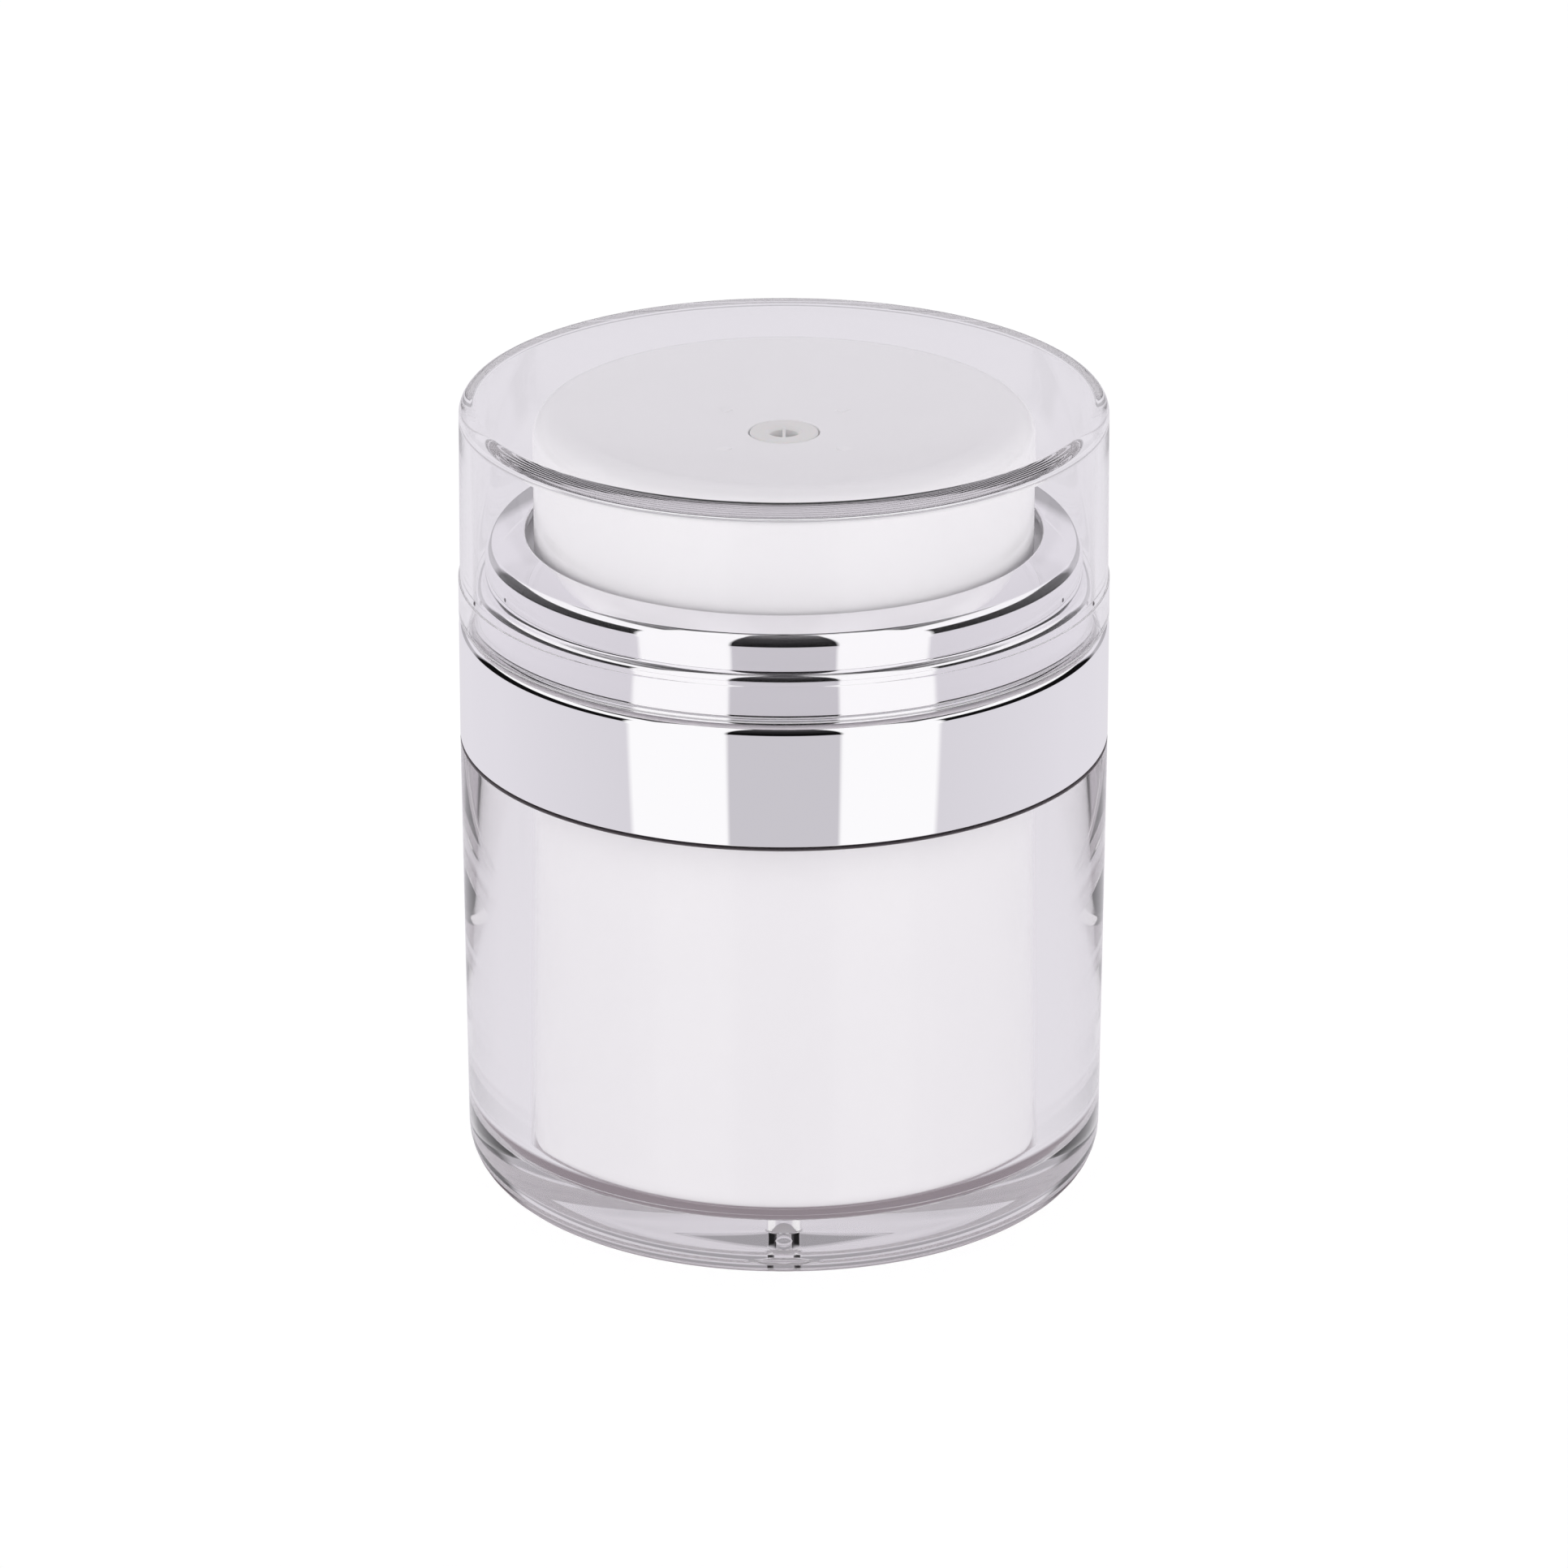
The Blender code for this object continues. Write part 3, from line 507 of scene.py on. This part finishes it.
disc = {"base": 63.0, "radius": 23.8, "height": 13.1, "edgeFillet": 2.2, "dish": 2.2, "plate": 1.5,
        "skirtBore": 22.3, "flange": 26.5, "flangeThickness": 1.0, "hub": 5.2, "pocket": 3.4,
        "seat": 7.95, "passage": 1.5, "hubShelf": 0.8, "stemHole": 2.9, "hubFoot": 2.2,
        "ribs": 4, "ribStart": 7.4, "ribThickness": 1.0, "ribHeight": 3.2, "dishSteps": 24,
        "pocketFillet": 0.12}


def dishDrop(radius):
    return disc["dish"] * (1 - (radius / (disc["radius"] - disc["edgeFillet"])) ** 2)


def makeDisc():
    top = disc["height"]
    plateFoot = top - disc["plate"]
    shelf = disc["seat"] - disc["hubShelf"]
    rim = disc["radius"] - disc["edgeFillet"]
    count = disc["dishSteps"]
    radii = [disc["pocket"] + (rim - disc["pocket"]) * step / count for step in range(count)]
    above = [(radius, top - dishDrop(radius)) for radius in reversed(radii)]
    above[-1] = (*above[-1], disc["pocketFillet"])
    under = [(radius, plateFoot - dishDrop(radius)) for radius in radii if radius > disc["hub"]]
    corners = [
        (disc["flange"], 0),
        (disc["flange"], disc["flangeThickness"]),
        (disc["radius"], disc["flangeThickness"]),
        (disc["radius"], top, disc["edgeFillet"]),
        *above,
        (disc["pocket"], disc["seat"]),
        (disc["passage"], disc["seat"]),
        (disc["passage"], shelf),
        (disc["stemHole"], shelf),
        (disc["stemHole"], disc["hubFoot"]),
        (disc["hub"], disc["hubFoot"]),
        (disc["hub"], plateFoot - dishDrop(disc["hub"])),
        *under,
        (disc["skirtBore"], plateFoot, disc["plate"] / 2),
        (disc["skirtBore"], 0),
    ]
    piece = turnPiece("pressDisc", corners, whitePlastic, disc["base"])
    ribTop = disc["base"] + plateFoot - disc["dish"] / 2
    addBars(piece, disc["ribs"], disc["ribStart"], disc["skirtBore"] + disc["plate"] / 2,
            ribTop - disc["ribHeight"], ribTop + disc["plate"] / 2, disc["ribThickness"])
    dress(piece, "press_head", "white_plastic", "press_disc")


# nozzle

nozzle = {"base": 71.25, "radius": 3.25, "height": 2.75, "bore": 1.35, "lead": 0.35, "top": 1.0,
          "hollow": 2.3, "edge": 0.2, "boreEdge": 0.1, "sides": 128, "bar": 0.3, "barSink": 0.1,
          "barRise": 0.6}


def makeNozzle():
    bore = nozzle["bore"]
    height = nozzle["height"]
    roof = height - nozzle["top"]
    corners = [
        (nozzle["radius"], 0),
        (nozzle["radius"], height, nozzle["edge"]),
        (bore + nozzle["lead"], height, nozzle["boreEdge"]),
        (bore, height - nozzle["lead"], nozzle["boreEdge"]),
        (bore, roof),
        (nozzle["hollow"], roof),
        (nozzle["hollow"], 0),
    ]
    piece = turnPiece("nozzleTip", corners, milkyPlastic, nozzle["base"], nozzle["sides"])
    # one bar right across the outlet, its ends sunk in the bore's wall
    reach = bore + nozzle["barSink"]
    addBars(piece, 1, -reach, reach, nozzle["base"] + roof,
            nozzle["base"] + height - nozzle["lead"] * nozzle["barRise"], nozzle["bar"], offset=0.25)
    dress(piece, "press_head", "natural_plastic", "nozzle_insert")


# clear cap

cap = {"base": 57.2, "foot": 31.0, "side": 30.85, "top": 30.75, "bore": 29.6, "under": 19.7,
       "height": 21.3, "footBand": 3.7, "topFillet": 1.3, "innerFillet": 0.6, "footFillet": 0.25,
       "boreFillet": 0.12, "bandFillet": 0.08, "bandStep": 0.05, "mattTilt": -0.9, "mattRise": 0.02,
       "markTurn": 71.0, "markReach": 30.68, "markRise": 4.2, "markSize": 0.24}


def addMarks(piece, material):
    # two small marks of the mould, low on the cap's sides
    piece.data.materials.append(material)
    shape = bmesh.new()
    shape.from_mesh(piece.data)
    for side in (-1, 1):
        turn = math.radians(side * cap["markTurn"])
        place = Vector((math.sin(turn), -math.cos(turn), 0)) * cap["markReach"]
        place.z = cap["base"] + cap["markRise"]
        ball = bmesh.ops.create_icosphere(shape, subdivisions=2, radius=cap["markSize"] * mm,
                                          matrix=Matrix.Translation(place * mm))
        for face in {face for corner in ball["verts"] for face in corner.link_faces}:
            face.material_index = len(piece.data.materials) - 1
    shape.to_mesh(piece.data)
    shape.free()


def makeCap():
    corners = [
        (0, cap["under"]),
        (cap["bore"], cap["under"], cap["innerFillet"]),
        (cap["bore"], 0, cap["boreFillet"]),
        (cap["foot"], 0, cap["footFillet"]),
        (cap["foot"], cap["footBand"], cap["bandFillet"]),
        (cap["side"], cap["footBand"] + cap["bandStep"], cap["bandStep"]),
        (cap["top"], cap["height"], cap["topFillet"]),
        (0, cap["height"]),
    ]
    piece = turnPiece("clearCap", corners, clearAcrylic, cap["base"])
    foot = (cap["base"] + cap["mattRise"]) * mm
    paintFaces(piece, mattFoot,
               lambda face: face.normal.z < cap["mattTilt"] and face.center.z < foot)
    # the mould marks share the rim's painted-shade material: dark from outside, pale through the wall
    addMarks(piece, seamShadeAndMarks)
    dress(piece, "cap", "clear_acrylic", "over_cap")


makeJar()
makeCup()
makeCollar()
makeDisc()
makeNozzle()
makeCap()
print("turned pieces made")


# pieces kept from the frame

keptFinish = {
    "cup_gasket": softSeal, "outlet_valve": softSeal, "inlet_valve": softSeal,
    "pump_deck": whitePlastic, "collar_liner": whitePlastic, "pump_stem": whitePlastic,
    "pump_chamber": milkyPlastic, "chamber_cap": milkyPlastic, "chamber_piston": milkyPlastic,
    "follower_piston": milkyPlastic,
}
for name, material in keptFinish.items():
    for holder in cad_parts[name].material_slots:
        holder.material = material
print("kept pieces dressed:", len(keptFinish))


# return spring: a smoother coil of the imported spring's size

spring = {"low": 60.75, "high": 72.3, "radius": 6.6, "wire": 0.4, "turns": 4.5, "pointsPerTurn": 32,
          "sides": 12, "stroke": 4.5}


def makeSpring():
    rise = spring["high"] - spring["low"] - 2 * spring["wire"]
    count = round(spring["turns"] * spring["pointsPerTurn"])
    shape = bmesh.new()
    rings = []
    for index in range(count + 1):
        turn = 2 * math.pi * spring["turns"] * index / count
        outward = Vector((math.cos(turn), math.sin(turn), 0))
        middle = outward * spring["radius"]
        middle.z = spring["low"] + spring["wire"] + rise * index / count
        ring = []
        for side in range(spring["sides"]):
            angle = 2 * math.pi * side / spring["sides"]
            spoke = outward * math.cos(angle) + Vector((0, 0, math.sin(angle)))
            ring.append(shape.verts.new((middle + spring["wire"] * spoke) * mm))
        rings.append(ring)
    for ring, following in zip(rings, rings[1:]):
        for side in range(spring["sides"]):
            after = (side + 1) % spring["sides"]
            shape.faces.new((ring[side], ring[after], following[after], following[side])).smooth = True
    shape.faces.new(list(reversed(rings[0])))
    shape.faces.new(rings[-1])
    bmesh.ops.recalc_face_normals(shape, faces=shape.faces)
    piece = placeShape("springCoil", shape, springSteel)
    dress(piece, "jar", "spring_steel", "return_spring")
    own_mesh(piece)


makeSpring()
print("spring made")


# floor

# under is the colour of a painted shadow round the jar's foot, seen through the clear plastic and in
# reflections; the edge pair gives the radii in millimetres over which it fades out
floorLook = {"size": 4.0, "drop": 0.2, "paper": 0.9, "glow": 0.12, "seenPaper": 0.18,
             "seenGlow": 0.87, "under": (0.28, 0.24, 0.265), "paintedShadowEdge": (29.5, 32.5)}


def makeFloor():
    shape = bmesh.new()
    half = floorLook["size"] / 2
    corners = [shape.verts.new((x * half, y * half, -floorLook["drop"] * mm))
               for x, y in ((-1, -1), (1, -1), (1, 1), (-1, 1))]
    shape.faces.new(corners)
    material = bpy.data.materials.new("paleFloor")
    material.use_nodes = True
    tree = material.node_tree
    tree.nodes.clear()
    out = addNode(tree, "ShaderNodeOutputMaterial", 800)
    gone = addNode(tree, "ShaderNodeBsdfTransparent", -200, -200)
    rays = addNode(tree, "ShaderNodeLightPath", -600)
    seen = addNode(tree, "ShaderNodeMixShader", 200, 100)
    join(tree, rays.outputs["Is Camera Ray"], seen.inputs[0])
    # what the camera sees is nearly white by itself and keeps only a faint shadow
    for paperKey, glowKey, target in (("paper", "glow", 1), ("seenPaper", "seenGlow", 2)):
        paper = addNode(tree, "ShaderNodeBsdfDiffuse", -400, 200)
        paper.inputs["Color"].default_value = (*[floorLook[paperKey]] * 3, 1)
        glow = addNode(tree, "ShaderNodeEmission", -400, 0)
        glow.inputs["Strength"].default_value = floorLook[glowKey]
        both = addNode(tree, "ShaderNodeAddShader", -100, 100)
        join(tree, paper.outputs[0], both.inputs[0])
        join(tree, glow.outputs[0], both.inputs[1])
        join(tree, both.outputs[0], seen.inputs[target])
    last = addNode(tree, "ShaderNodeMixShader", 500)
    join(tree, calc(tree, "MAXIMUM", rays.outputs["Is Glossy Ray"],
                    rays.outputs["Is Transmission Ray"]), last.inputs[0])
    join(tree, seen.outputs[0], last.inputs[1])
    # under the jar's foot, rays that come through the foot meet a painted shadow: a dark emission out
    # to the foot's edge that fades to nothing just beyond it
    place = addNode(tree, "ShaderNodeTexCoord", -1000, -300)
    reach = addNode(tree, "ShaderNodeVectorMath", -800, -300)
    reach.operation = "LENGTH"
    join(tree, place.outputs["Object"], reach.inputs[0])
    inside = addNode(tree, "ShaderNodeMapRange", -600, -300)
    for socket, value in zip(("From Min", "From Max", "To Min", "To Max"),
                             (*[edge * mm for edge in floorLook["paintedShadowEdge"]], 1, 0)):
        inside.inputs[socket].default_value = value
    join(tree, reach.outputs["Value"], inside.inputs["Value"])
    shade = addNode(tree, "ShaderNodeEmission", -400, -300)
    shade.inputs["Color"].default_value = (*floorLook["under"], 1)
    through = addNode(tree, "ShaderNodeMixShader", 0, -250)
    join(tree, inside.outputs["Result"], through.inputs[0])
    join(tree, gone.outputs[0], through.inputs[1])
    join(tree, shade.outputs[0], through.inputs[2])
    join(tree, through.outputs[0], last.inputs[2])
    join(tree, last.outputs[0], out.inputs["Surface"])
    floor = placeShape("floor", shape, material)


makeFloor()
print("floor made")


# studio

# What the gloss and the clear plastic see: softboxes left and right of the camera, dark cards
# between and beside them, white card behind, grey table. Each layer but the lowest starts between
# two heights in degrees. It runs round the room from the camera's side (0 degrees) to the back
# (180), the same on the left and right. A brightness of 1 is paper white.
studio = {
    "layers": {
        "table": (None, [(0, .62), (19, .62), (20.5, 1.05), (55, 1.05), (57, .73), (120, .8),
                         (150, .8), (180, .76)]),
        "cards": ((-6, -4), [(0, .005), (19, .005), (20.5, 1.05), (55, 1.05), (57, .005),
                             (130, .005), (136, .5), (158, .42)]),
        "backdrop": ((9, 13), [(0, .005), (19, .005), (20.5, 1.05), (55, 1.05), (57, .005),
                               (130, .005), (136, .85), (158, .8)]),
        "strips": ((24, 26), [(0, .02), (19, .02), (20.5, 1.05), (130, 1.05), (136, .85),
                              (158, .72), (180, .85)]),
        "over": ((45, 48), [(0, .05), (19, .05), (20.5, 1.05), (55, 1.05), (57, .07), (131, .07),
                            (136, .9), (160, 1.0), (172, 1.25)]),
        "lid": ((60, 64), [(0, .08), (19, .08), (20.5, 1.05), (55, 1.05), (57, .08)]),
    },
    # what matt surfaces see, by height
    "soft": [(-90, 1.0), (-2, 1.5), (20, 1.5), (50, .43), (90, .43)],
    "tint": (1.0, 0.975, 1.03), "tintBelow": 0.95,
}


def heightPlace(angle):
    # where a height in degrees sits on a ramp that runs from straight down to straight up
    return angle / 180 + 0.5


def ramp(tree, factor, stops):
    node = tree.nodes.new("ShaderNodeValToRGB")
    node.color_ramp.interpolation = "LINEAR"
    marks = node.color_ramp.elements
    while len(marks) < len(stops):
        marks.new(0.5)
    for mark, (place, value) in zip(marks, stops):
        mark.position = place
        tint = studio["tint"] if value < studio["tintBelow"] else (1, 1, 1)
        mark.color = (*(value * part for part in tint), 1)
    join(tree, factor, node.inputs[0])
    return node.outputs[0]


def makeStudio():
    world = bpy.data.worlds.new("studio")
    scene.world = world
    world.use_nodes = True
    tree = world.node_tree
    tree.nodes.clear()
    place = addNode(tree, "ShaderNodeTexCoord", -1400)
    split = addNode(tree, "ShaderNodeSeparateXYZ", -1200)
    join(tree, place.outputs["Generated"], split.inputs[0])
    x, y, z = split.outputs
    around = calc(tree, "DIVIDE", calc(tree, "ARCTAN2", calc(tree, "ABSOLUTE", x),
                                       calc(tree, "MULTIPLY", y, -1.0)), math.pi)
    height = calc(tree, "MULTIPLY_ADD", calc(tree, "ARCSINE", z), 1 / math.pi, 0.5)

    room = None
    for edge, stops in studio["layers"].values():
        layer = ramp(tree, around, [(angle / 180, value) for angle, value in stops])
        if edge:
            above = ramp(tree, height, [(heightPlace(edge[0]), 0), (heightPlace(edge[1]), 1)])
            layer = blendColour(tree, above, room, layer)
        room = layer
    rays = addNode(tree, "ShaderNodeLightPath", -200, -300)
    mirrored = calc(tree, "MAXIMUM", rays.outputs["Is Glossy Ray"],
                    rays.outputs["Is Transmission Ray"])
    soft = ramp(tree, height, [(heightPlace(angle), value) for angle, value in studio["soft"]])
    light = blendColour(tree, mirrored, soft, room)
    bounced = calc(tree, "GREATER_THAN", rays.outputs["Diffuse Depth"], 0.5)
    light = blendColour(tree, bounced, light, soft)
    light = blendColour(tree, rays.outputs["Is Camera Ray"], light, (1.0, 1.0, 1.0))
    back = addNode(tree, "ShaderNodeBackground", 400)
    join(tree, light, back.inputs["Color"])
    out = addNode(tree, "ShaderNodeOutputWorld", 600)
    join(tree, back.outputs[0], out.inputs["Surface"])


makeStudio()


# camera: its elevation is in degrees, its distances are in metres, the rest in millimetres

camera = {"elevation": 21.5, "distance": 0.85, "aimHeight": 39.2, "fieldWidth": 150.7,
          "sensor": 36, "nearest": 0.01}


def makeCamera():
    tilt = math.radians(camera["elevation"])
    far = camera["distance"]
    data = bpy.data.cameras.new("camera")
    data.sensor_width = camera["sensor"]
    data.lens = camera["sensor"] * far / (camera["fieldWidth"] * mm)
    data.clip_start = camera["nearest"]
    holder = bpy.data.objects.new("camera", data)
    scene.collection.objects.link(holder)
    holder.location = (0, -math.cos(tilt) * far, camera["aimHeight"] * mm + math.sin(tilt) * far)
    holder.rotation_euler = (math.pi / 2 - tilt, 0, 0)
    scene.camera = holder


makeCamera()
scene.view_settings.view_transform = "Standard"
scene.cycles.glossy_bounces = 32
scene.cycles.transmission_bounces = 48
scene.cycles.max_bounces = 48
scene.cycles.transparent_max_bounces = 16
print("studio and camera ready")
